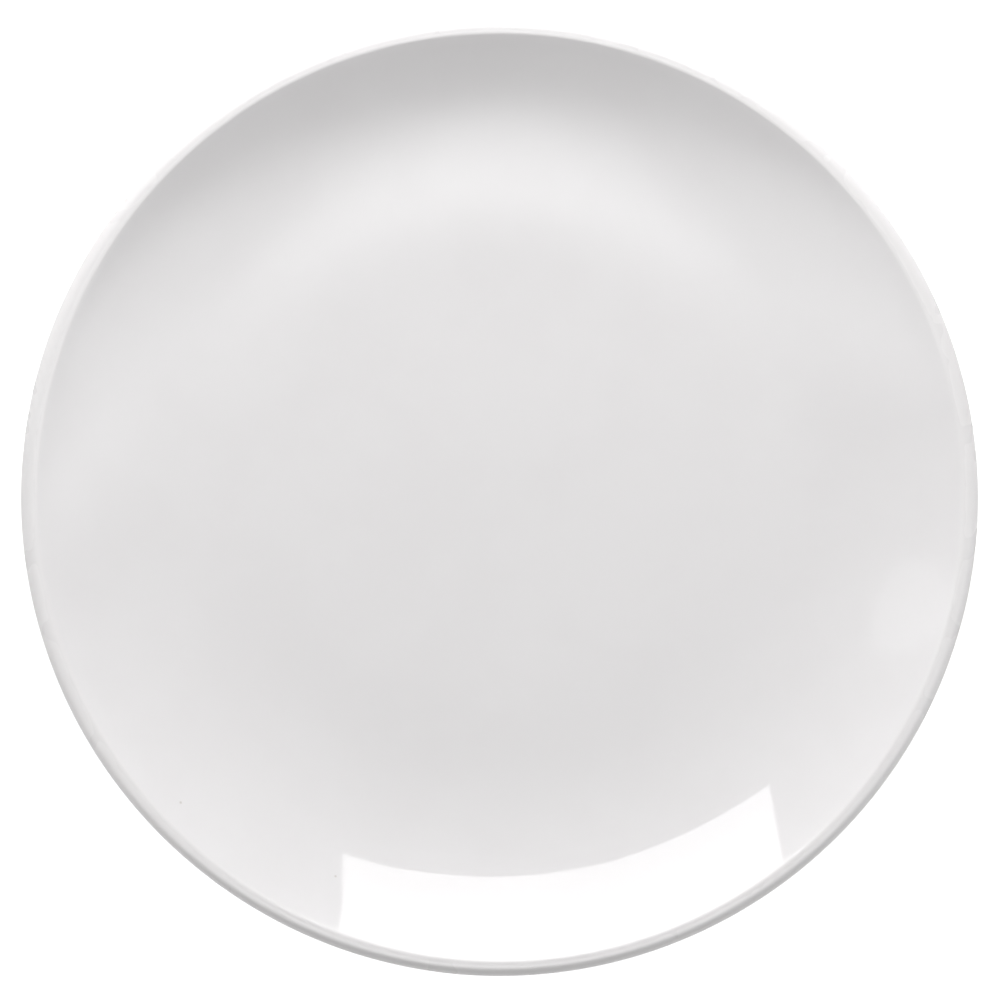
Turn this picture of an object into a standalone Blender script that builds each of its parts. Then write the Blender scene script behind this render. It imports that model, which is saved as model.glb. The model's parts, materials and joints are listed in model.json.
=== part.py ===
"""Coupe salad plate in glazed porcelain.

The plate has a flat well, a wall that rises from it in one sweep to a round lip, and a low foot
ring underneath. It is one fired piece: nothing on it moves or comes undone. What it is made of is a
clay body and two coats of glass. The seat of the foot ring is wiped bare before firing, and that
bare band parts the glaze into a main coat, which runs from the foot ring up the outside, over the
lip and across the face, and a second coat that lines the recess inside the ring.

One section is drawn, that of the clay. Each stretch of it is a line or an arc tangent to the next,
so the glaze is the same section laid off along its normals. Every piece is that section turned
about the plate's axis.

Metres, +Z up. The origin is on the table, on the plate's axis.
"""

import math

import bmesh
import bpy
from mathutils import Vector

# Driving dimensions of the finished plate
PLATE_DIAMETER = 0.210
PLATE_HEIGHT = 0.025
WELL_DIAMETER = 0.112

# Clay thicknesses: under the well, and across the rounded lip
BASE_THICKNESS = 0.0046
LIP_THICKNESS = 0.0036

# Foot ring: the seat is the bare flat that stands on the table
FOOT_DIAMETER = 0.106
FOOT_HEIGHT = 0.0026
FOOT_SEAT_WIDTH = 0.0028
FOOT_BEVEL = 0.0004
FOOT_DRAFT = math.radians(14)
FOOT_FILLET = 0.0018

# Glaze: its thickness, the parting from the clay, and the band wiped off above the seat's bevel
GLAZE_THICKNESS = 0.00025
GLAZE_PARTING = 0.0003
WIPED_BAND = 0.0005

# Facets round the plate, and along each curved stretch of the section
TURN_STEPS = 64
WALL_STEPS = 10
LIP_STEPS = 3
OUTSIDE_STEPS = 8
FILLET_STEPS = 3

# Two points of a turned mesh nearer than this are one point on the axis
WELD_DISTANCE = 1e-7
SHARP_ANGLE = math.radians(35)

# Finishes: linear colour and roughness
BARE_PORCELAIN = (0.78, 0.76, 0.72)
BARE_ROUGHNESS = 0.75
WHITE_GLAZE = (0.86, 0.86, 0.855)
GLAZE_ROUGHNESS = 0.06

COAT = GLAZE_PARTING + GLAZE_THICKNESS
CLAY_RADIUS = PLATE_DIAMETER / 2 - COAT
CLAY_HEIGHT = PLATE_HEIGHT - COAT
WELL_RADIUS = WELL_DIAMETER / 2
WELL_LEVEL = FOOT_HEIGHT + BASE_THICKNESS
FOOT_RADIUS = FOOT_DIAMETER / 2
LIP_RADIUS = LIP_THICKNESS / 2


def clear_scene():
    for old in list(bpy.data.objects):
        bpy.data.objects.remove(old, do_unlink=True)


def point(radius, height):
    """A point of the section, in the half plane where the radius is along +X."""
    return Vector((radius, 0.0, height))


def heading(angle):
    """The unit vector at this angle, counted from the radius towards the height."""
    return point(math.cos(angle), math.sin(angle))


def arc(centre, radius, start, end, steps, hollow=False):
    """Stations along an arc: pairs of a point and the normal that leaves the clay there.

    The angles say which way the normal points. A hollow arc has its centre in the air, so its points
    lie on the far side of the centre from the normal.
    """
    side = -radius if hollow else radius
    angles = [start + (end - start) * i / steps for i in range(steps + 1)]
    return [(centre + side * heading(angle), heading(angle)) for angle in angles]


def sweep_radius(start, lip, tangent_side):
    """Radius of an arc that leaves its start level and ends touching the lip's circle.

    tangent_side is 1 for the face, which meets the lip from above, and -1 for the outside, which
    wraps it from below.
    """
    across = lip.x - start.x
    rise = lip.z - start.z
    return (across**2 + rise**2 - LIP_RADIUS**2) / (2 * (rise + tangent_side * LIP_RADIUS))


def angle_of(vector):
    return math.atan2(vector.z, vector.x)


def foot_fillet_radius():
    """The fillet at the ring's root, limited by the height of the ring's side above the wiped band."""
    side = (FOOT_HEIGHT - FOOT_BEVEL) / math.cos(FOOT_DRAFT) - WIPED_BAND
    return min(FOOT_FILLET, side * math.tan((math.pi / 2 + FOOT_DRAFT) / 2))


def root_fillet_centre(arc_centre, arc_radius, side_foot, side_up, side_normal):
    """Centre of the fillet in the corner between the ring's outer side and the arc of the outside.

    It climbs beside the ring, one fillet radius off its side, until it is as far off the arc.
    """
    fillet = foot_fillet_radius()
    below = side_foot + fillet * side_normal - arc_centre
    along = below.dot(side_up)
    reach = arc_radius + fillet
    climb = -along - math.sqrt(along**2 - below.length_squared + reach**2)
    return arc_centre + below + climb * side_up


def face_and_outside():
    """Stations of the clay under the main coat: from the axis across the well, up the wall, round the
    lip, and down the outside to the edge of the wiped band on the ring's outer side."""
    up = math.pi / 2
    lip = point(CLAY_RADIUS - LIP_RADIUS, CLAY_HEIGHT - LIP_RADIUS)

    well_edge = point(WELL_RADIUS, WELL_LEVEL)
    wall_radius = sweep_radius(well_edge, lip, 1)
    wall_centre = well_edge + point(0, wall_radius)
    wall_end = angle_of(wall_centre - lip)

    shoulder = point(FOOT_RADIUS, FOOT_HEIGHT)
    outside_radius = sweep_radius(shoulder, lip, -1)
    outside_centre = shoulder + point(0, outside_radius)
    lip_end = angle_of(lip - outside_centre)

    bevel_top = point(FOOT_RADIUS + FOOT_SEAT_WIDTH / 2 + FOOT_BEVEL, FOOT_BEVEL)
    side_normal = heading(-FOOT_DRAFT)
    side_up = heading(up - FOOT_DRAFT)
    fillet = foot_fillet_radius()
    fillet_centre = root_fillet_centre(outside_centre, outside_radius, bevel_top, side_up, side_normal)
    outside_end = angle_of(fillet_centre - outside_centre)

    stations = [(point(0, WELL_LEVEL), heading(up))]
    stations += arc(wall_centre, wall_radius, up, wall_end, WALL_STEPS, hollow=True)
    # The lip is cut at its top and at its widest, so both of the plate's outer sizes are met exactly
    for start, end in ((wall_end, up), (up, 0), (0, lip_end)):
        stations += arc(lip, LIP_RADIUS, start, end, LIP_STEPS)[1:]
    stations += arc(outside_centre, outside_radius, lip_end, outside_end, OUTSIDE_STEPS)[1:]
    stations += arc(fillet_centre, fillet, outside_end, -FOOT_DRAFT, FILLET_STEPS, hollow=True)[1:]
    stations += [(bevel_top + WIPED_BAND * side_up, side_normal)]
    return stations


def recess():
    """Stations of the clay under the second coat: from the edge of the wiped band on the ring's inner
    side, up the root fillet and across the recess to the axis."""
    down = -math.pi / 2
    fillet = foot_fillet_radius()
    bevel_top = point(FOOT_RADIUS - FOOT_SEAT_WIDTH / 2 - FOOT_BEVEL, FOOT_BEVEL)
    side_normal = heading(math.pi + FOOT_DRAFT)
    side_up = heading(math.pi / 2 + FOOT_DRAFT)
    fillet_level = FOOT_HEIGHT - fillet
    offset = bevel_top + fillet * side_normal
    fillet_centre = offset + side_up * ((fillet_level - offset.z) / side_up.z)

    stations = [(bevel_top + WIPED_BAND * side_up, side_normal)]
    stations += arc(fillet_centre, fillet, FOOT_DRAFT - math.pi, down, FILLET_STEPS, hollow=True)
    stations += [(point(0, FOOT_HEIGHT), heading(down))]
    return stations


def foot_seat():
    """The bare end of the ring: a bevel, the flat seat on the table, and a bevel."""
    inner = FOOT_RADIUS - FOOT_SEAT_WIDTH / 2
    outer = FOOT_RADIUS + FOOT_SEAT_WIDTH / 2
    return [
        point(outer + FOOT_BEVEL, FOOT_BEVEL),
        point(outer, 0),
        point(inner, 0),
        point(inner - FOOT_BEVEL, FOOT_BEVEL),
    ]


def laid_off(stations, distance):
    return [place + distance * normal for place, normal in stations]


def coat_outline(stations):
    """The section of a glaze coat: its free surface out, and its seat on the clay back."""
    return laid_off(stations, COAT) + laid_off(stations, GLAZE_PARTING)[::-1]


def turned(name, outline, material):
    """A solid made by turning an outline, which starts and ends on the axis, once about +Z."""
    shape = bmesh.new()
    corners = [shape.verts.new(corner) for corner in outline]
    sides = [shape.edges.new(pair) for pair in zip(corners, corners[1:])]
    bmesh.ops.spin(
        shape,
        geom=corners + sides,
        cent=(0, 0, 0),
        axis=(0, 0, 1),
        angle=2 * math.pi,
        steps=TURN_STEPS,
        use_merge=True,
    )
    bmesh.ops.remove_doubles(shape, verts=shape.verts, dist=WELD_DISTANCE)
    bmesh.ops.recalc_face_normals(shape, faces=shape.faces)

    mesh = bpy.data.meshes.new(name)
    shape.to_mesh(mesh)
    shape.free()
    mesh.materials.append(material)
    mesh.shade_smooth()
    mesh.set_sharp_from_angle(angle=SHARP_ANGLE)
    piece = bpy.data.objects.new(name, mesh)
    bpy.context.scene.collection.objects.link(piece)
    return piece


def finish(name, colour, roughness):
    material = bpy.data.materials.new(name)
    material.use_nodes = True
    shader = material.node_tree.nodes["Principled BSDF"]
    shader.inputs["Base Color"].default_value = (*colour, 1.0)
    shader.inputs["Roughness"].default_value = roughness
    shader.inputs["Metallic"].default_value = 0
    return material


def main():
    clear_scene()
    bare_clay = finish("bare_porcelain", BARE_PORCELAIN, BARE_ROUGHNESS)
    white_glaze = finish("white_glaze", WHITE_GLAZE, GLAZE_ROUGHNESS)
    recess_glaze = finish("recess_glaze", WHITE_GLAZE, GLAZE_ROUGHNESS)

    main_stations = face_and_outside()
    recess_stations = recess()
    clay_outline = laid_off(main_stations, 0) + foot_seat() + laid_off(recess_stations, 0)

    plate = bpy.data.objects.new("plate", None)
    bpy.context.scene.collection.objects.link(plate)
    for piece in (
        turned("porcelain_body", clay_outline, bare_clay),
        turned("face_and_outside_glaze", coat_outline(main_stations), white_glaze),
        turned("foot_recess_glaze", coat_outline(recess_stations[::-1]), recess_glaze),
    ):
        piece.parent = plate


main()
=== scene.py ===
# %% [markdown]
# # A coupe salad plate in white porcelain
#
# A coupe plate has no rim. Its level well runs into the wall, and the wall into a round lip, as one
# curve. It is clay under two coats of glass, with no pattern on it, so all that the eye gets is form and
# gloss: how the wall curves, how the lip turns, and how the lamps lie on the glaze. This lesson makes
# the coats and the clay as turned surfaces with numpy, gives them procedural finishes, and lights them
# as a white plate is lit in a studio.
#
# The solids of the plate are already packed as a frame. They are loaded first, they are never moved,
# and the sizes that they fix are read from them.

# %% Load the frame
import json
import math

import bpy
import numpy as np
from mathutils import Matrix, Vector


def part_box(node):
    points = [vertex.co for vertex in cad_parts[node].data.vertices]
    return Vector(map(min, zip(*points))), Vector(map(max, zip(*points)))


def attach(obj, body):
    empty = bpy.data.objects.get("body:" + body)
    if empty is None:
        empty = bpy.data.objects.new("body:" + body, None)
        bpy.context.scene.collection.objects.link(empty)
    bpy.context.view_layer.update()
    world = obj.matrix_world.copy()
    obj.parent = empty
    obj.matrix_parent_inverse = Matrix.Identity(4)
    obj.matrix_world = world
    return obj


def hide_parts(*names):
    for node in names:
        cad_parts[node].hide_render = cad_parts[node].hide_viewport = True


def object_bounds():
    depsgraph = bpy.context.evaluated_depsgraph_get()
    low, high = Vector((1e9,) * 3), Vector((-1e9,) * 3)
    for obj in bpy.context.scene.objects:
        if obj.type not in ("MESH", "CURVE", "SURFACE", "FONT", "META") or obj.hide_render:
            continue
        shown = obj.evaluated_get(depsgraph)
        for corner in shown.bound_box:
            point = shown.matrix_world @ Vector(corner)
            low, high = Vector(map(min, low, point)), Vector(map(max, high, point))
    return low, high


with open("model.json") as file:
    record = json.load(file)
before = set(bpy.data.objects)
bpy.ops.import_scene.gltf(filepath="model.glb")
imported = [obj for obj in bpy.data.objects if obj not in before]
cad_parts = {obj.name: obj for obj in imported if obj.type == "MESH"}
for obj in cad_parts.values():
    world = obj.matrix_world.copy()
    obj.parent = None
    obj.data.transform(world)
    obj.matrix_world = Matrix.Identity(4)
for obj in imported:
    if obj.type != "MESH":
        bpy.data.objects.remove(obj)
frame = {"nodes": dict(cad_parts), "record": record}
solid_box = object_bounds()
print("solids:", ", ".join(sorted(frame["nodes"])))

# %% [markdown]
# ## Sizes
#
# The plate's radius and height, the level of the well and the radius of the foot ring come from the
# frame. The coat is how far the glaze's free surface stands off the clay of the solids, and it is the
# difference of two boxes. The other sizes are those of a table plate, written here in metres.

# %% Sizes of the plate
solid_top = np.array(solid_box[1])
plate_radius = solid_top[0]
plate_height = solid_top[2]
coat = plate_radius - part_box("porcelain_body")[1].x

mounts = {mount["name"]: np.array(mount["pos_m"]) for mount in frame["record"]["mounts"]}
well_level = mounts["well_face"][2]
foot_radius = math.hypot(*mounts["foot_seat"][:2])

well_radius = 0.056
lip_radius = 0.0018 + coat
foot_height = 0.0026
seat_half_width = 0.0014
seat_bevel = 0.0004
foot_draft = math.radians(14)
root_fillet = 0.0018 - coat
wiped_band = 0.0005
glaze_depth = 0.00025
print(f"plate {2000 * plate_radius:.1f} mm across, {1000 * plate_height:.1f} mm high")
print(f"well {1000 * well_level:.2f} mm up, foot ring {2000 * foot_radius:.1f} mm across")

# %% [markdown]
# ## The section
#
# A potter's template is a section: half of the plate, cut through its axis. It could be drawn as a
# Bezier curve by eye, but then a change of one size would mean drawing it again. Here it is a chain of
# arcs and lines, kept as two arrays: the points, and the directions that leave the clay there. With the
# directions at hand, the back of the glaze and the clay under it are the same chain, laid off inwards.

# %% Stretches of a section
def heading(angle):
    """The unit vector at an angle that is counted from the radius towards the height."""
    return np.column_stack([np.cos(angle), np.sin(angle)])


def arc(centre, radius, start, end, count):
    """Points and outward directions on an arc.

    A point is the centre plus the radius times the direction, and the direction's angle runs evenly
    from start to end. A negative radius makes a hollow arc, whose centre is in the air.
    """
    directions = heading(np.linspace(start, end, count))
    return centre + radius * directions, directions


def line(start, end, direction, count):
    """Points spread evenly from start to end, which all face the same way."""
    share = np.linspace(0, 1, count)[:, None]
    return start + share * (end - start), np.tile(direction, (count, 1))


def chain(*stretches):
    """One section from stretches that follow each other, with each shared end point kept once."""
    points = [stretches[0][0]] + [stretch[0][1:] for stretch in stretches[1:]]
    directions = [stretches[0][1]] + [stretch[1][1:] for stretch in stretches[1:]]
    return np.concatenate(points), np.concatenate(directions)


quarter = arc(np.zeros(2), 1.0, 0, math.pi / 2, 5)
print("a quarter circle in five points:", quarter[0].round(2).tolist())

# %% [markdown]
# ## The face
#
# A coupe's face has no corner between well and wall, and gloss shows it: where a flat meets an arc, the
# slope is even but the curvature jumps, and a reflection ends there in a line. A potter dresses the
# template until that line is gone. So the face is given by its slope. It grows as ln(1 + e^x), which is
# close to zero in the well, close to a straight line on the wall, where an even growth of slope is a
# circle, and soft at the knee between them. Summing steps along the slope gives the points. One value
# is still open, the wall's radius, and it is halved in on until the face ends touching the lip's circle.

# %% Well and wall in one sweep
UP = math.pi / 2
knee = 0.007
lip_centre = np.array([plate_radius - lip_radius, plate_height - lip_radius])
long_way = np.linspace(0, 1.25 * plate_radius, 4000)


def face_curve(wall_radius, way):
    """Points and outward directions of the face, at each way from the axis.

    The slope is knee / wall radius times ln(1 + e^x), where x is the way past the well's edge over the
    knee. Radius and height are running sums of the steps times the cosine and the sine of the slope.
    """
    slope = knee / wall_radius * np.logaddexp(0, (way - well_radius) / knee)
    step = np.diff(way)
    middle = (slope[1:] + slope[:-1]) / 2
    radius = np.append(0, np.cumsum(step * np.cos(middle)))
    height = well_level + np.append(0, np.cumsum(step * np.sin(middle)))
    return np.column_stack([radius, height]), heading(UP + slope)


def meets_lip(wall_radius):
    """The way to the point that has the lip's centre straight under it, and how far above it that is."""
    points, directions = face_curve(wall_radius, long_way)
    inside = points - lip_radius * directions
    way = np.interp(lip_centre[0], inside[:, 0], long_way)
    return way, np.interp(way, long_way, inside[:, 1]) - lip_centre[1]


tightest, widest = 0.05, 0.20
for _ in range(40):
    wall_radius = (tightest + widest) / 2
    face_length, too_high = meets_lip(wall_radius)
    if too_high > 0:
        tightest = wall_radius
    else:
        widest = wall_radius

FACE_POINTS = 88
face = face_curve(wall_radius, np.linspace(0, face_length, FACE_POINTS))
wall_end = UP + math.acos(face[1][-1, 1])
print(f"wall radius {1000 * wall_radius:.1f} mm, {math.degrees(wall_end - UP):.1f} degrees at the lip")

# %% [markdown]
# ## Lip, outside and foot ring
#
# From the lip the glaze runs down the outside to the foot ring. The outside is an arc that leaves the
# ring's shoulder level and wraps the lip's circle from below. For a circle of radius p whose centre lies
# a across and b above the shoulder, the only radius that does both is (a^2 + b^2 - p^2) / (2 (b - p)).
# The same idea places the small fillet in the corner between the outside and the foot ring.

# %% Lip and outside
def angle_of(vector):
    """The angle of a vector of the section, counted from the radius towards the height."""
    return math.atan2(vector[1], vector[0])


shoulder = np.array([foot_radius, foot_height - coat])
across, rise = lip_centre - shoulder
outside_radius = (across**2 + rise**2 - lip_radius**2) / (2 * (rise - lip_radius))
outside_centre = shoulder + [0, outside_radius]
lip_end = angle_of(lip_centre - outside_centre)

ring_normal = heading(-foot_draft)[0]
ring_up = heading(UP - foot_draft)[0]
bevel_top = np.array([foot_radius + seat_half_width + seat_bevel, seat_bevel])
ring_foot = bevel_top + wiped_band * ring_up + coat * ring_normal

# The fillet's centre climbs beside the ring until it is as far off the outside's arc as off the ring
below = ring_foot + root_fillet * ring_normal - outside_centre
along = below @ ring_up
reach = outside_radius + root_fillet
climb = -along - math.sqrt(along**2 - below @ below + reach**2)
fillet_centre = outside_centre + below + climb * ring_up
fillet_start = angle_of(fillet_centre - outside_centre)
ring_top = fillet_centre - root_fillet * ring_normal

main_section = chain(
    face,
    arc(lip_centre, lip_radius, wall_end, lip_end, 40),
    arc(outside_centre, outside_radius, lip_end, fillet_start, 40),
    arc(fillet_centre, -root_fillet, fillet_start, -foot_draft, 12),
    line(ring_top, ring_foot, ring_normal, 12),
)
print(f"outside radius {1000 * outside_radius:.1f} mm, {len(main_section[0])} points in the section")

# %% [markdown]
# ## The recess coat's section
#
# Under the plate, inside the foot ring, a second coat runs level from the axis to the root fillet and
# down the ring's inner side. Both sections start on the axis and end at a wiped edge, so what follows
# can treat them alike.

# %% Recess inside the foot ring
inner_normal = heading(math.pi + foot_draft)[0]
inner_up = heading(UP + foot_draft)[0]
inner_bevel_top = np.array([foot_radius - seat_half_width - seat_bevel, seat_bevel])
inner_foot = inner_bevel_top + wiped_band * inner_up + coat * inner_normal

recess_level = foot_height - coat
beside_ring = inner_foot + root_fillet * inner_normal
climb = (recess_level - root_fillet - beside_ring[1]) / inner_up[1]
inner_fillet_centre = beside_ring + climb * inner_up
inner_ring_top = inner_fillet_centre - root_fillet * inner_normal

recess_section = chain(
    line(np.array([0, recess_level]), inner_fillet_centre + [0, root_fillet], [0, -1], 40),
    arc(inner_fillet_centre, -root_fillet, -UP, foot_draft - math.pi, 12),
    line(inner_ring_top, inner_foot, inner_normal, 12),
)
print(f"recess {2000 * inner_fillet_centre[0]:.1f} mm across its level part")

# %% [markdown]
# ## Glass on clay
#
# In the solids the glass stands off the clay by a small parting, as neighbouring solids do. On a fired
# plate it is fused to the clay, so the clay is brought up close under the glass here, and the free
# surface stays where the solids have it. At the foot the potter wipes the glaze off with a sponge. What
# is left there thins out, and as it melts its edge draws up round, with a low bead behind it. A bevel
# could round that edge, but the thinning and the bead are a profile, so they are worked out as one.

# %% Surfaces of a coat
fused_gap = 0.00002
taper_length = 0.0020
edge_depth = 0.00018
edge_round = 0.00025
bead_rise = 0.00005


def smooth(share):
    """An even rise from 0 to 1: three times the share squared, less twice its cube."""
    share = np.clip(share, 0, 1)
    return share**2 * (3 - 2 * share)


def way_along(points):
    """Length of a section from its first point to each of its points."""
    steps = np.linalg.norm(np.diff(points, axis=0), axis=1)
    return np.append(0, np.cumsum(steps))


def fullness(section):
    """How far the coat has its full depth: 0 at the wiped edge, and 1 once the taper is behind."""
    way = way_along(section[0])
    return smooth((way[-1] - way) / taper_length)


def laid_off(section, distance):
    """The section's points, moved along its directions by one distance for each point."""
    points, directions = section
    return points + distance[:, None] * directions


def coat_surfaces(section):
    """Free surface and back of a coat, and the clay under it, as three sets of section points.

    The clay lies one full coat deep at the edge and rises to just under the glaze along the taper. The
    glaze's depth grows along the same taper. A quarter circle rounds its edge, and a bell curve two
    roundings behind the edge is the bead.
    """
    way = way_along(section[0])
    from_edge = (way[-1] - way) / edge_round
    full = fullness(section)
    clay = (coat - glaze_depth - fused_gap) * full - coat
    back = clay + fused_gap
    rounding = np.sqrt(1 - np.clip(1 - from_edge, 0, 1) ** 2)
    bead = bead_rise * np.exp(-((from_edge - 2) ** 2))
    depth = edge_depth + (glaze_depth - edge_depth) * full + bead
    return laid_off(section, back + depth * rounding), laid_off(section, back), laid_off(section, clay)


main_free, main_back, main_clay = coat_surfaces(main_section)
recess_free, recess_back, recess_clay = coat_surfaces(recess_section)
print(f"glaze {1e6 * glaze_depth:.0f} microns deep, {1e6 * edge_depth:.0f} near its wiped edge")

# %% [markdown]
# ## Where glaze pools and where it thins
#
# Molten glass creeps off a tight round and gathers in a hollow. On a white plate that shows as a lip
# that is a little lighter and drier, where the coat is thin over the clay, and as a foot root that is a
# little cooler. Curvature says where: the section's directions spread apart on a round and close up in a
# hollow. It is kept with each point and later becomes an attribute of the mesh that the finish can read.

# %% Pooling along a section
flow_length = 0.0015


def pooling_along(section):
    """Minus the curvature of a section, in units of the lip's: -1 on the lip, up to 1 in a hollow.

    Curvature is how fast the direction changes along the way, measured along the way itself. A bell
    curve as wide as the glass flows averages it over the neighbouring points.
    """
    points, directions = section
    way = way_along(points)
    tangent = np.gradient(points, way, axis=0)
    curvature = np.einsum("ij,ij->i", np.gradient(directions, way, axis=0), tangent)
    bell = np.exp(-(((way[:, None] - way) / flow_length) ** 2)) * np.gradient(way)
    return np.clip(-lip_radius * (bell @ curvature) / bell.sum(axis=1), -1, 1)


main_pooling = pooling_along(main_section)
recess_pooling = pooling_along(recess_section)
print(f"pooling from {main_pooling.min():.2f} on the lip to {main_pooling.max():.2f} at the foot's root")

# %% [markdown]
# ## Profiles
#
# A profile is an outline that starts and ends on the axis. It is a table with a row for each point:
# radius, height, the two parts of the outward direction, the share of the ripples that come later, and
# the pooling. As a table it can be thinned, reversed and joined in one go. Nobody sees the back of the
# glaze and the clay behind it, so every third point does there, and both keep the same ones, so that
# they stay parallel. The bare seat is the clay's own: a flat, with an edge worn round on both sides.

# %% Profiles of the three pieces
def profile(points, section, ripple_share, pooling):
    """Rows of radius, height, outward direction, ripple share and pooling."""
    shares = np.broadcast_to(ripple_share, len(points))
    pools = np.broadcast_to(pooling, len(points))
    return np.column_stack([points, section[1], shares, pools])


def thinned(rows):
    """Every third row, with the first and the last kept."""
    return rows[np.union1d(np.arange(0, len(rows), 3), [len(rows) - 1])]


main_face = profile(main_free, main_section, fullness(main_section), main_pooling)
main_inside = thinned(profile(main_back, main_section, 0, main_pooling))
main_profile = np.concatenate([main_face[:-1], main_inside[::-1]])

recess_face = profile(recess_free, recess_section, fullness(recess_section), recess_pooling)
recess_inside = thinned(profile(recess_back, recess_section, 0, recess_pooling))
recess_profile = np.concatenate([recess_inside[:-1], recess_face[::-1]])

outer_round = arc(np.array([foot_radius + seat_half_width, seat_bevel]), seat_bevel, 0, -UP, 7)
inner_round = arc(np.array([foot_radius - seat_half_width, seat_bevel]), seat_bevel, -UP, -math.pi, 7)
seat_section = [np.concatenate(pair) for pair in zip(outer_round, inner_round)]
seat = profile(seat_section[0], seat_section, 0, 0)
clay_above = thinned(profile(main_clay, main_section, 0, 0))
clay_below = thinned(profile(recess_clay, recess_section, 0, 0))
clay_profile = np.concatenate([clay_above, seat, clay_below[::-1]])
print("profile points:", len(main_profile), len(recess_profile), len(clay_profile))

# %% [markdown]
# ## What the kiln does to the shape
#
# A turned surface is too perfect to pass for fired ware. Two things are missing. The glaze has long low
# ripples, which only show where a lamp's reflection wavers. And the whole plate settles as it softens:
# it ends a hair out of round, and the rim sags in two places. A noise displacement could do the first,
# but a sum of plane waves has a known slope, and slope is what bends a reflection. Each movement goes
# inwards or down, so that the plate stays within the size of its solids, and the foot stays flat.

# %% Ripples and rings
rng = np.random.default_rng(11)
RIPPLES = 28
ripple_length = rng.uniform(0.009, 0.032, RIPPLES)
ripple_bearing = rng.uniform(0, 2 * math.pi, RIPPLES)
ripple_phase = rng.uniform(0, 2 * math.pi, RIPPLES)
ripple_slope = 0.0005

ring_length = 0.0042
ring_rise = 0.000008


def ripple_depth(points):
    """A sum of plane waves over x and y, each its amplitude times one plus a cosine.

    An amplitude is the ripple's slope times its length, over a full turn.
    """
    wave_number = 2 * math.pi / ripple_length
    bearings = np.stack([np.cos(ripple_bearing), np.sin(ripple_bearing)])
    waves = 1 + np.cos(points[:, :2] @ bearings * wave_number + ripple_phase)
    return waves @ (ripple_slope / wave_number)


def ring_depth(points):
    """Rings that the turning tool leaves: a low cosine wave over the radius."""
    radius = np.hypot(points[:, 0], points[:, 1])
    return ring_rise * (1 + np.cos(2 * math.pi * radius / ring_length))


print(f"ripples up to {2e6 * np.sum(ripple_slope * ripple_length) / (2 * math.pi):.0f} microns deep")

# %% Settling
out_of_round = 0.00010
oval_bearing = math.radians(35)
rim_sag = 0.00020
sag_bearing = math.radians(110)


def settled(points):
    """Points after the firing.

    The radius shrinks by the out-of-round times its share of the plate's radius squared, on two sides.
    Beyond the foot ring the height drops by the sag times the square of the way out to the rim, also
    on two sides. A cosine of twice the bearing makes two sides.
    """
    radius = np.hypot(points[:, 0], points[:, 1])
    bearing = np.arctan2(points[:, 1], points[:, 0])
    oval_sides = 1 + np.cos(2 * (bearing - oval_bearing))
    oval = out_of_round / plate_radius * (radius / plate_radius) * oval_sides
    way_out = np.clip((radius - bevel_top[0]) / (plate_radius - bevel_top[0]), 0, 1)
    sag = rim_sag * way_out**2 * (1 + np.cos(2 * (bearing - sag_bearing)))
    drawn_in = np.outer(oval / 2, [1, 1, 0]) * points
    return points - drawn_in - np.outer(sag / 2, [0, 0, 1])


print(f"out of round by {1e6 * out_of_round:.0f} microns, rim down by {1e6 * rim_sag:.0f}")

# %% [markdown]
# ## Turning a profile
#
# A potter's wheel turns a section into a plate, and a grid does it here: one parameter runs along the
# profile and the other round the axis. Blender's Screw modifier would turn it too, but here each point
# keeps its row of the table. A profile that starts and ends on the axis closes by itself: its first and
# last points become single poles with a fan of triangles, and the grid between them is made of quads,
# whose last column joins the first.

# %% The wheel
TURNS = 360


def carried_round(outline):
    """Carries an outline round the axis: radius r and height z go to (r cos t, r sin t, z)."""
    turn = np.arange(TURNS) * (2 * math.pi / TURNS)
    radius = outline[1:-1, 0, None]
    height = np.broadcast_to(outline[1:-1, 1, None], (len(outline) - 2, TURNS))
    rings = np.stack([radius * np.cos(turn), radius * np.sin(turn), height], axis=-1)
    poles = [[0, 0, outline[0, 1]], [0, 0, outline[-1, 1]]]
    return np.concatenate([rings.reshape(-1, 3), poles])


def spread_round(values):
    """Gives each outline point's value to every point that is carried round from it."""
    return np.append(np.repeat(values[1:-1], TURNS), values[[0, -1]])


def faces_between(ring_count):
    """Quads between neighbouring rings, and a fan of triangles at each pole, all facing outwards."""
    ring = np.arange(ring_count)[:, None] * TURNS
    here = ring + np.arange(TURNS)
    after = ring + np.roll(np.arange(TURNS), -1)
    quads = np.stack([here[:-1], here[1:], after[1:], after[:-1]], axis=-1).reshape(-1, 4)
    pole = np.full(TURNS, ring_count * TURNS)
    first_fan = np.stack([pole, here[0], after[0]], axis=-1)
    last_fan = np.stack([pole + 1, after[-1], here[-1]], axis=-1)
    return quads, np.concatenate([first_fan, last_fan])


def enclosed(points, corners):
    """Six times the signed volume of the tetrahedra from the origin to triangles of these corners."""
    first, second, third = (points[corners[:, i]] for i in range(3))
    return np.einsum("ij,ij->", first, np.cross(second, third))


print(f"{TURNS} steps round the axis, {360 / TURNS:.1f} degrees each")

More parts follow.
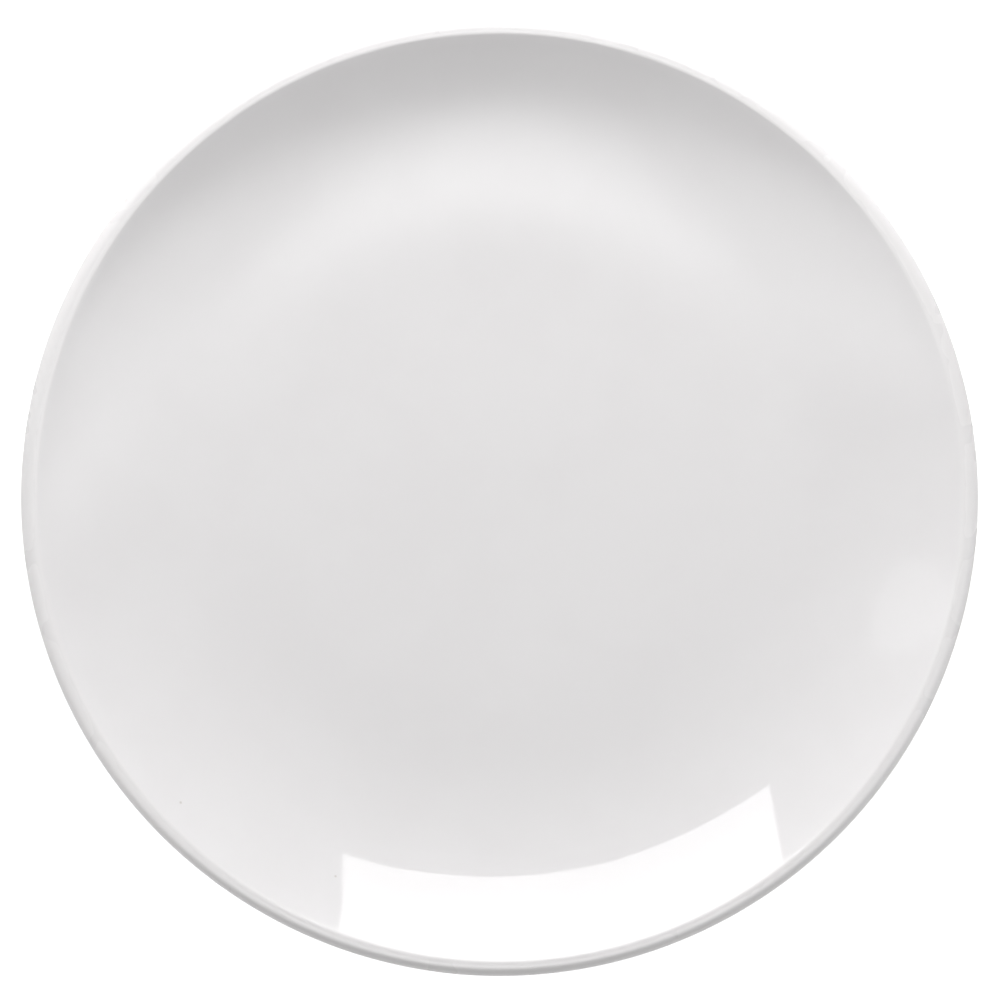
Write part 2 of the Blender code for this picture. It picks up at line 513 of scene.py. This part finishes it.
# %% From a profile to a piece
def turned_piece(name, rows, depth_of):
    """Turns a profile into a mesh, with its free surface laid in by a depth and then settled."""
    directions = carried_round(rows[:, 2:4])
    points = carried_round(rows[:, :2])
    points -= (depth_of(points) * spread_round(rows[:, 4]))[:, None] * directions
    points = settled(points)
    quads, fans = faces_between(len(rows) - 2)

    mesh = bpy.data.meshes.new(name)
    mesh.from_pydata(points, [], quads.tolist() + fans.tolist())
    mesh.shade_smooth()
    pools = mesh.attributes.new("pooling", "FLOAT", "POINT")
    pools.data.foreach_set("value", spread_round(rows[:, 5]))
    piece = bpy.data.objects.new(name, mesh)
    bpy.context.scene.collection.objects.link(piece)

    triangles = np.concatenate([quads[:, :3], quads[:, [0, 2, 3]], fans])
    volume = enclosed(points, triangles) / 6
    print(f"{name}: {len(triangles)} triangles, {1e6 * volume:.2f} cm3")
    return piece

# %% [markdown]
# ## The three pieces
#
# On a bench the plate wouldn't come apart, but it is three bodies: a coat of glass over the face and the
# outside, a coat in the foot's recess, and the clay between them, which shows only at the seat. Each
# piece stands for the solid of the same body, which is hidden, and rides on the plate's one body.

# %% Face and outside, recess, and clay
def stands_for(piece, node):
    """Puts a piece in the place of a solid, which it hides, on the plate's one body."""
    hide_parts(node)
    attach(piece, "root")


face_glaze = turned_piece("glaze_face_and_outside", main_profile, ripple_depth)
stands_for(face_glaze, "face_and_outside_glaze")

recess_glaze = turned_piece("glaze_foot_recess", recess_profile, ring_depth)
stands_for(recess_glaze, "foot_recess_glaze")

clay = turned_piece("clay_body", clay_profile, ring_depth)
stands_for(clay, "porcelain_body")

# %% [markdown]
# ## Nodes without the clutter
#
# A finish is a small tree of nodes. Blender's way to write one in Python is long: make each node, set
# its properties, link its sockets. These helpers say the same in one line for each node, so that the
# finishes below read as recipes.

# %% Helpers for node trees
def new_node(tree, kind, inputs=None, **settings):
    """A node with its settings, whose inputs are given by name or number as a socket or a value."""
    node = tree.nodes.new("ShaderNode" + kind)
    for name, value in settings.items():
        setattr(node, name, value)
    for key, source in (inputs or {}).items():
        if isinstance(source, bpy.types.NodeSocket):
            tree.links.new(source, node.inputs[key])
        else:
            node.inputs[key].default_value = source
    return node


def math_of(tree, operation, first, second):
    """The sum, product or larger of two values, as the operation says."""
    return new_node(tree, "Math", {0: first, 1: second}, operation=operation).outputs[0]


def eased(tree, value, start, end, low=0.0, high=1.0):
    """Runs smoothly from low, where the value is at start, to high, where it is at end."""
    inputs = {"Value": value, "From Min": start, "From Max": end, "To Min": low, "To Max": high}
    return new_node(tree, "MapRange", inputs, interpolation_type="SMOOTHSTEP").outputs["Result"]


def layered(tree, cover, under, over):
    """One colour over another, as far as the cover reaches."""
    return new_node(tree, "Mix", {0: cover, 6: under, 7: over}, data_type="RGBA").outputs[2]


def clouds(tree, place, scale, detail=2.0):
    """Soft noise around one half, with this many clouds to the metre."""
    return new_node(tree, "TexNoise", {"Vector": place, "Scale": scale, "Detail": detail}).outputs["Fac"]


def blank_finish(name):
    """A new material, its tree, its shader and the place that its patterns read."""
    finish = bpy.data.materials.new(name)
    finish.use_nodes = True
    tree = finish.node_tree
    return finish, tree, tree.nodes["Principled BSDF"], new_node(tree, "TexCoord").outputs["Object"]


print("helpers for node trees are ready")

# %% [markdown]
# ## White glaze
#
# The glaze is a clear glass, made milky white by the kaolin under it. Its colour is never quite even:
# it drifts by about one part in a hundred, lightens where it thins on the lip, and cools where it pools.
# Its gloss is high but not that of a mirror, and it is softer on the lip, where a thin coat dries out in
# the kiln. Close up it has the faint orange peel of a melt, and specks of iron that came to the surface.
# One flat colour would give none of this. The specks are spheres round points of the surface, so they
# stay the same from any side.

# %% Colours and specks of the glaze
glaze_light = (0.871, 0.857, 0.862, 1)
glaze_dark = (0.861, 0.846, 0.851, 1)
glaze_thin = (0.876, 0.861, 0.862, 1)
glaze_pooled = (0.800, 0.808, 0.822, 1)
speck_colour = (0.42, 0.37, 0.30, 1)


def speck_place(radius, bearing):
    """A point of the settled face: the section gives its height, and its bearing turns it."""
    height = np.interp(radius, *main_face[:FACE_POINTS, :2].T)
    turned = [radius * math.cos(bearing), radius * math.sin(bearing), height]
    return settled(np.array([turned]))[0]


# Centre, radius and strength of each speck
face_specks = (
    (speck_place(0.0968, math.radians(-136.2)), 0.00045, 0.35),
    (speck_place(0.0906, math.radians(-113.4)), 0.00040, 0.35),
)
print("specks at", ", ".join(str((1000 * centre).round(1).tolist()) for centre, _, _ in face_specks))

# %% Finish of the glaze
drift_clouds = 55.0
gloss_clouds = 120.0
peel_clouds = 420.0
fine_peel_clouds = 1600.0
peel_height = 0.000004
gloss_range = (0.032, 0.048)
lip_dryness = 0.24


def glaze_colour(tree, place, pooling, specks):
    """Two whites that drift, then the thin lip, the pooled hollows and the specks over them."""
    drift = eased(tree, clouds(tree, place, drift_clouds), 0.35, 0.65)
    colour = layered(tree, drift, glaze_dark, glaze_light)
    colour = layered(tree, eased(tree, pooling, -0.25, -1.0), colour, glaze_thin)
    colour = layered(tree, eased(tree, pooling, 0.2, 1.0), colour, glaze_pooled)
    for centre, radius, strength in specks:
        away = new_node(tree, "VectorMath", {0: place, 1: centre}, operation="DISTANCE").outputs["Value"]
        cover = eased(tree, away, radius, 0.3 * radius, 0.0, strength)
        colour = layered(tree, cover, colour, speck_colour)
    return colour


def glaze_finish(name, specks):
    """Roughness is the patches' plus the lip's dryness, and the bump is coarse peel plus fine peel."""
    finish, tree, shader, place = blank_finish(name)
    pooling = new_node(tree, "Attribute", attribute_name="pooling").outputs["Fac"]
    tree.links.new(glaze_colour(tree, place, pooling, specks), shader.inputs["Base Color"])

    patches = eased(tree, clouds(tree, place, gloss_clouds), 0.3, 0.7, *gloss_range)
    drier = eased(tree, pooling, -0.25, -1.0, 0.0, lip_dryness)
    tree.links.new(math_of(tree, "ADD", patches, drier), shader.inputs["Roughness"])

    fine_peel = math_of(tree, "MULTIPLY", clouds(tree, place, fine_peel_clouds), 0.25)
    peel = math_of(tree, "ADD", clouds(tree, place, peel_clouds), fine_peel)
    relief = new_node(tree, "Bump", {"Strength": 1.0, "Distance": peel_height, "Height": peel})
    tree.links.new(relief.outputs["Normal"], shader.inputs["Normal"])
    return finish


face_glaze.data.materials.append(glaze_finish("white_glaze_finish", face_specks))
recess_glaze.data.materials.append(glaze_finish("recess_glaze_finish", ()))
print(f"glaze roughness {gloss_range[0]} to {gloss_range[1]}, and {lip_dryness} more on the lip")

# %% [markdown]
# ## Bare clay
#
# The seat is the one place where the fired clay shows. Porcelain fires warm white and dense, with a
# grain as fine as that of a tooth, and the seat greys where it rubs on shelves and on other plates. The
# grain is a bump of fine noise, and the rubbed grey follows height, because only the lowest tenth of a
# millimetre touches anything.

# %% Finish of the clay
clay_light = (0.82, 0.795, 0.75, 1)
clay_dark = (0.76, 0.73, 0.68, 1)
rubbed_grey = (0.52, 0.50, 0.47, 1)
rub_height = 0.00012
grain_clouds = 2600.0
patch_clouds = 180.0
grain_height = 0.00003


def clay_finish(name):
    """Grain colours the clay and lifts its bump, and patches near the table are rubbed grey."""
    finish, tree, shader, place = blank_finish(name)
    height = new_node(tree, "SeparateXYZ", {0: place}).outputs["Z"]
    grain = clouds(tree, place, grain_clouds, 4.0)
    patches = clouds(tree, place, patch_clouds, 3.0)

    colour = layered(tree, eased(tree, grain, 0.3, 0.7), clay_dark, clay_light)
    touching = eased(tree, height, rub_height, 0.0)
    rubbed = math_of(tree, "MULTIPLY", touching, eased(tree, patches, 0.42, 0.68))
    tree.links.new(layered(tree, rubbed, colour, rubbed_grey), shader.inputs["Base Color"])
    tree.links.new(eased(tree, patches, 0.3, 0.7, 0.72, 0.86), shader.inputs["Roughness"])
    relief = new_node(tree, "Bump", {"Strength": 1.0, "Distance": grain_height, "Height": grain})
    tree.links.new(relief.outputs["Normal"], shader.inputs["Normal"])
    return finish


clay.data.materials.append(clay_finish("bare_clay_finish"))
finish_names = [finish.name for finish in bpy.data.materials if finish.name.endswith("finish")]
print("finishes:", ", ".join(finish_names))

# %% [markdown]
# ## White ground and white room
#
# The plate is shown cut out on white. More light would burn the ground out to white and the plate with
# it, so the ground and the room glow white only for rays that look at them: from the camera, or by way
# of a reflection or through glass. The room gives less to matt surfaces than it shows. The ground keeps
# a matt share of its own, which holds the plate's shadow. Its glow also falls off under the plate, from
# the lip in to the foot ring, which is a painted shadow.

# %% What only a looking ray sees
def looked_at(tree):
    """1 for rays from the camera, a reflection or glass, and 0 for light that spreads."""
    path = new_node(tree, "LightPath")
    mirrored = math_of(tree, "MAXIMUM", path.outputs["Is Glossy Ray"], path.outputs["Is Transmission Ray"])
    return math_of(tree, "MAXIMUM", path.outputs["Is Camera Ray"], mirrored)


ground_grey = (0.60, 0.60, 0.60, 1)
# Radii over which the ground's glow falls off under the plate, a painted shadow
painted_shadow_darkest = foot_radius
painted_shadow_edge = 0.97 * plate_radius


def ground_finish(name):
    """A matt grey plus a white glow that falls off near the foot ring, a painted shadow under the plate.
    """
    finish = bpy.data.materials.new(name)
    finish.use_nodes = True
    tree = finish.node_tree
    place = new_node(tree, "TexCoord").outputs["Object"]
    radius = new_node(tree, "VectorMath", {0: place}, operation="LENGTH").outputs["Value"]
    # Painted shadow: the glow is darkest at the foot ring and full past the lip
    glow_with_painted_shadow = eased(tree, radius, painted_shadow_darkest, painted_shadow_edge, 0.55, 0.98)
    glow = math_of(tree, "MULTIPLY", looked_at(tree), glow_with_painted_shadow)
    matt = new_node(tree, "BsdfDiffuse", {"Color": ground_grey})
    white = new_node(tree, "Emission", {"Strength": glow})
    both = new_node(tree, "AddShader", {0: matt.outputs[0], 1: white.outputs[0]})
    tree.links.new(both.outputs[0], tree.nodes["Material Output"].inputs["Surface"])
    tree.nodes.remove(tree.nodes["Principled BSDF"])
    return finish


print(f"ground glow dims within {1000 * painted_shadow_edge:.0f} mm of the plate's axis")

# %% Ground and room
ground_half = 5.0
ground_level = -0.00002
square = np.array([(-1, -1, 0), (1, -1, 0), (1, 1, 0), (-1, 1, 0)])
ground_mesh = bpy.data.meshes.new("ground")
ground_mesh.from_pydata(ground_half * square + [0, 0, ground_level], [], [(0, 1, 2, 3)])
ground_mesh.materials.append(ground_finish("white_ground"))
ground = bpy.data.objects.new("ground", ground_mesh)
bpy.context.scene.collection.objects.link(ground)

room_light = 0.42
room = bpy.data.worlds.new("white_room")
bpy.context.scene.world = room
room.use_nodes = True
room_tree = room.node_tree
room_glow = eased(room_tree, looked_at(room_tree), 0.0, 1.0, room_light, 1.0)
room_shader = room_tree.nodes["Background"]
room_shader.inputs["Color"].default_value = (1, 1, 1, 1)
room_tree.links.new(room_glow, room_shader.inputs["Strength"])
print(f"ground {2 * ground_half:.0f} m wide, room at {room_light} for spread light")

# %% [markdown]
# ## Softboxes
#
# Gloss is a picture of the lamps, so their shapes matter as much as their power. A softbox is an area
# lamp. It is placed here by its centre and by two vectors, its full width across and its full height
# upward, and it shines to the side that they turn away from. Its radiance is the brightness of its
# cloth, which stays the same when the lamp changes size: Blender asks for watts, and watts are radiance
# times pi times the area.
#
# Cloth is bright in its middle and dim at its hems. Each fade is a straight line over the cloth: a sum
# of the share across and the share upward, each times a weight, that is dark at one value and full at
# another. Since a photographer flags a lamp off the matt parts or off the gloss, a softbox can be seen
# by one of them alone.

# %% A softbox
def faded(lamp, fades):
    """Multiplies a lamp's strength by a smooth step for each fade."""
    tree = lamp.node_tree
    cloth = new_node(tree, "TexCoord").outputs["UV"]
    strength = 1.0
    for across_weight, upward_weight, dark, full in fades:
        weights = (across_weight, upward_weight, 0)
        line_over = new_node(tree, "VectorMath", {0: cloth, 1: weights}, operation="DOT_PRODUCT")
        step = eased(tree, line_over.outputs["Value"], dark, full)
        strength = math_of(tree, "MULTIPLY", step, strength)
    tree.links.new(strength, tree.nodes["Emission"].inputs["Strength"])


def softbox(name, centre, across, upward, radiance, fades=(), matt=True, gloss=True, shape="RECTANGLE"):
    """An area lamp whose watts are its radiance times pi times its area.

    A lamp shines along its own -Z. Its axes are the unit vectors across and upward and the one that is
    square to both, so it shines away from that third one.
    """
    width = np.linalg.norm(across)
    height = np.linalg.norm(upward)
    lamp = bpy.data.lights.new(name, "AREA")
    lamp.shape = shape
    lamp.size = width
    lamp.size_y = height
    area = width * height * (math.pi / 4 if shape == "ELLIPSE" else 1)
    lamp.energy = radiance * math.pi * area
    lamp.use_nodes = True
    if fades:
        faded(lamp, fades)

    box = bpy.data.objects.new(name, lamp)
    side = Vector(across) / width
    top = Vector(upward) / height
    turn = Matrix((side, top, side.cross(top))).transposed().to_4x4()
    box.matrix_world = Matrix.Translation(centre) @ turn
    box.visible_camera = False
    box.visible_diffuse = matt
    box.visible_glossy = gloss
    bpy.context.scene.collection.objects.link(box)
    print(f"{name}: {100 * width:.0f} by {100 * height:.0f} cm, radiance {radiance}")

# %% [markdown]
# ## Nine lamps
#
# A large softbox, the window, stands behind the plate and leans over it. The near wall mirrors it as the
# broad white highlight, whose edges are the box's own, so it is there for the gloss alone. A key and a
# small near fill stand behind the plate too. They are there for the matt white alone, and make the light
# fall from the back.
#
# Two wide strips and an overhead lamp lie as the pale band on the far half of the face. They fade out
# towards the front, so the far wall mirrors a room without lamps and keeps its dark crescent. A ray
# meets only one of two lamps that share a plane, so these three hang at three heights. A round reflector
# leaves its faint spot on the right wall. A card on each side brightens the outside of the lip, and
# stands too low to light much of the wall across from it.

# %% Lamps
softbox(
    "window_softbox", (-0.111, 0.559, 0.3675), (-0.644, 0, 0), (0, -0.1446, 0.650), 4.4, matt=False,
    fades=((-0.12, 1, 0.872, 0.865),),
)
softbox("key_softbox", (-0.05, 0.51, 0.335), (-0.64, 0, 0), (0, -0.215, 0.36), 3.7, gloss=False)
softbox("near_fill", (0.05, 0.27, 0.26), (-0.25, 0, 0), (0, -0.14, 0.14), 0.7, gloss=False)
softbox(
    "left_strip", (-2.1, -1.15, 1.2), (4.8, 0, 0), (0, 3.1, 0), 2.15, matt=False,
    fades=((1, 0, 0, 0.69), (1, 0, 1, 0.875), (-0.54, 1, -0.12, 0.22), (-0.26, 1, 0.66, 0.53)),
)
softbox(
    "right_strip", (2.1, -0.90, 1.22), (4.8, 0, 0), (0, 3.2, 0), 2.3, matt=False,
    fades=((1, 0, 0, 0.125), (1, 0, 1, 0.31), (0.18, 1, 0.33, 0.64), (-0.25, 1, 0.80, 0.64)),
)
softbox(
    "overhead_lamp", (0, -0.53, 1.1), (1.0, 0, 0), (0, 1.42, 0), 2.4, matt=False,
    fades=((1, 0, 0, 0.5), (1, 0, 1, 0.5), (0, 1, 0, 0.583), (0, 1, 0.94, 0.63)),
)
softbox(
    "round_reflector", (-0.63, 0.20, 0.46), (-0.038, -0.147, 0.011), (0.214, -0.029, 0.360), 0.9,
    matt=False, shape="ELLIPSE",
)
softbox("left_card", (-0.8, -0.30, 0.055), (0, -0.8, 0), (0, 0, 0.09), 4.3)
softbox("right_card", (0.8, -0.30, 0.0225), (0, 0.8, 0), (0, 0, 0.045), 10.5)

# %% [markdown]
# ## Camera
#
# The plate was photographed from almost straight above with a long lens. The near half of its outline is
# part of a circle, and the far lip melts into the white ground. The camera looks down at 88 degrees from
# two metres away, at a point just over the middle of the well, and its lens frames the plate as the
# photograph does.

# %% Camera
elevation = math.radians(88)
distance = 2.0
target = np.array([0.0001, -0.00035, 0.012])
camera = bpy.data.cameras.new("camera")
camera.sensor_width = 36
camera.lens = 326.9
eye = bpy.data.objects.new("camera", camera)
eye.location = target + distance * np.array([0, -math.cos(elevation), math.sin(elevation)])
eye.rotation_euler = (UP - elevation, 0, 0)
bpy.context.scene.collection.objects.link(eye)
bpy.context.scene.camera = eye
bpy.context.scene.view_settings.view_transform = "Standard"
print(f"camera {distance} m away, {math.degrees(elevation):.1f} degrees above the table")
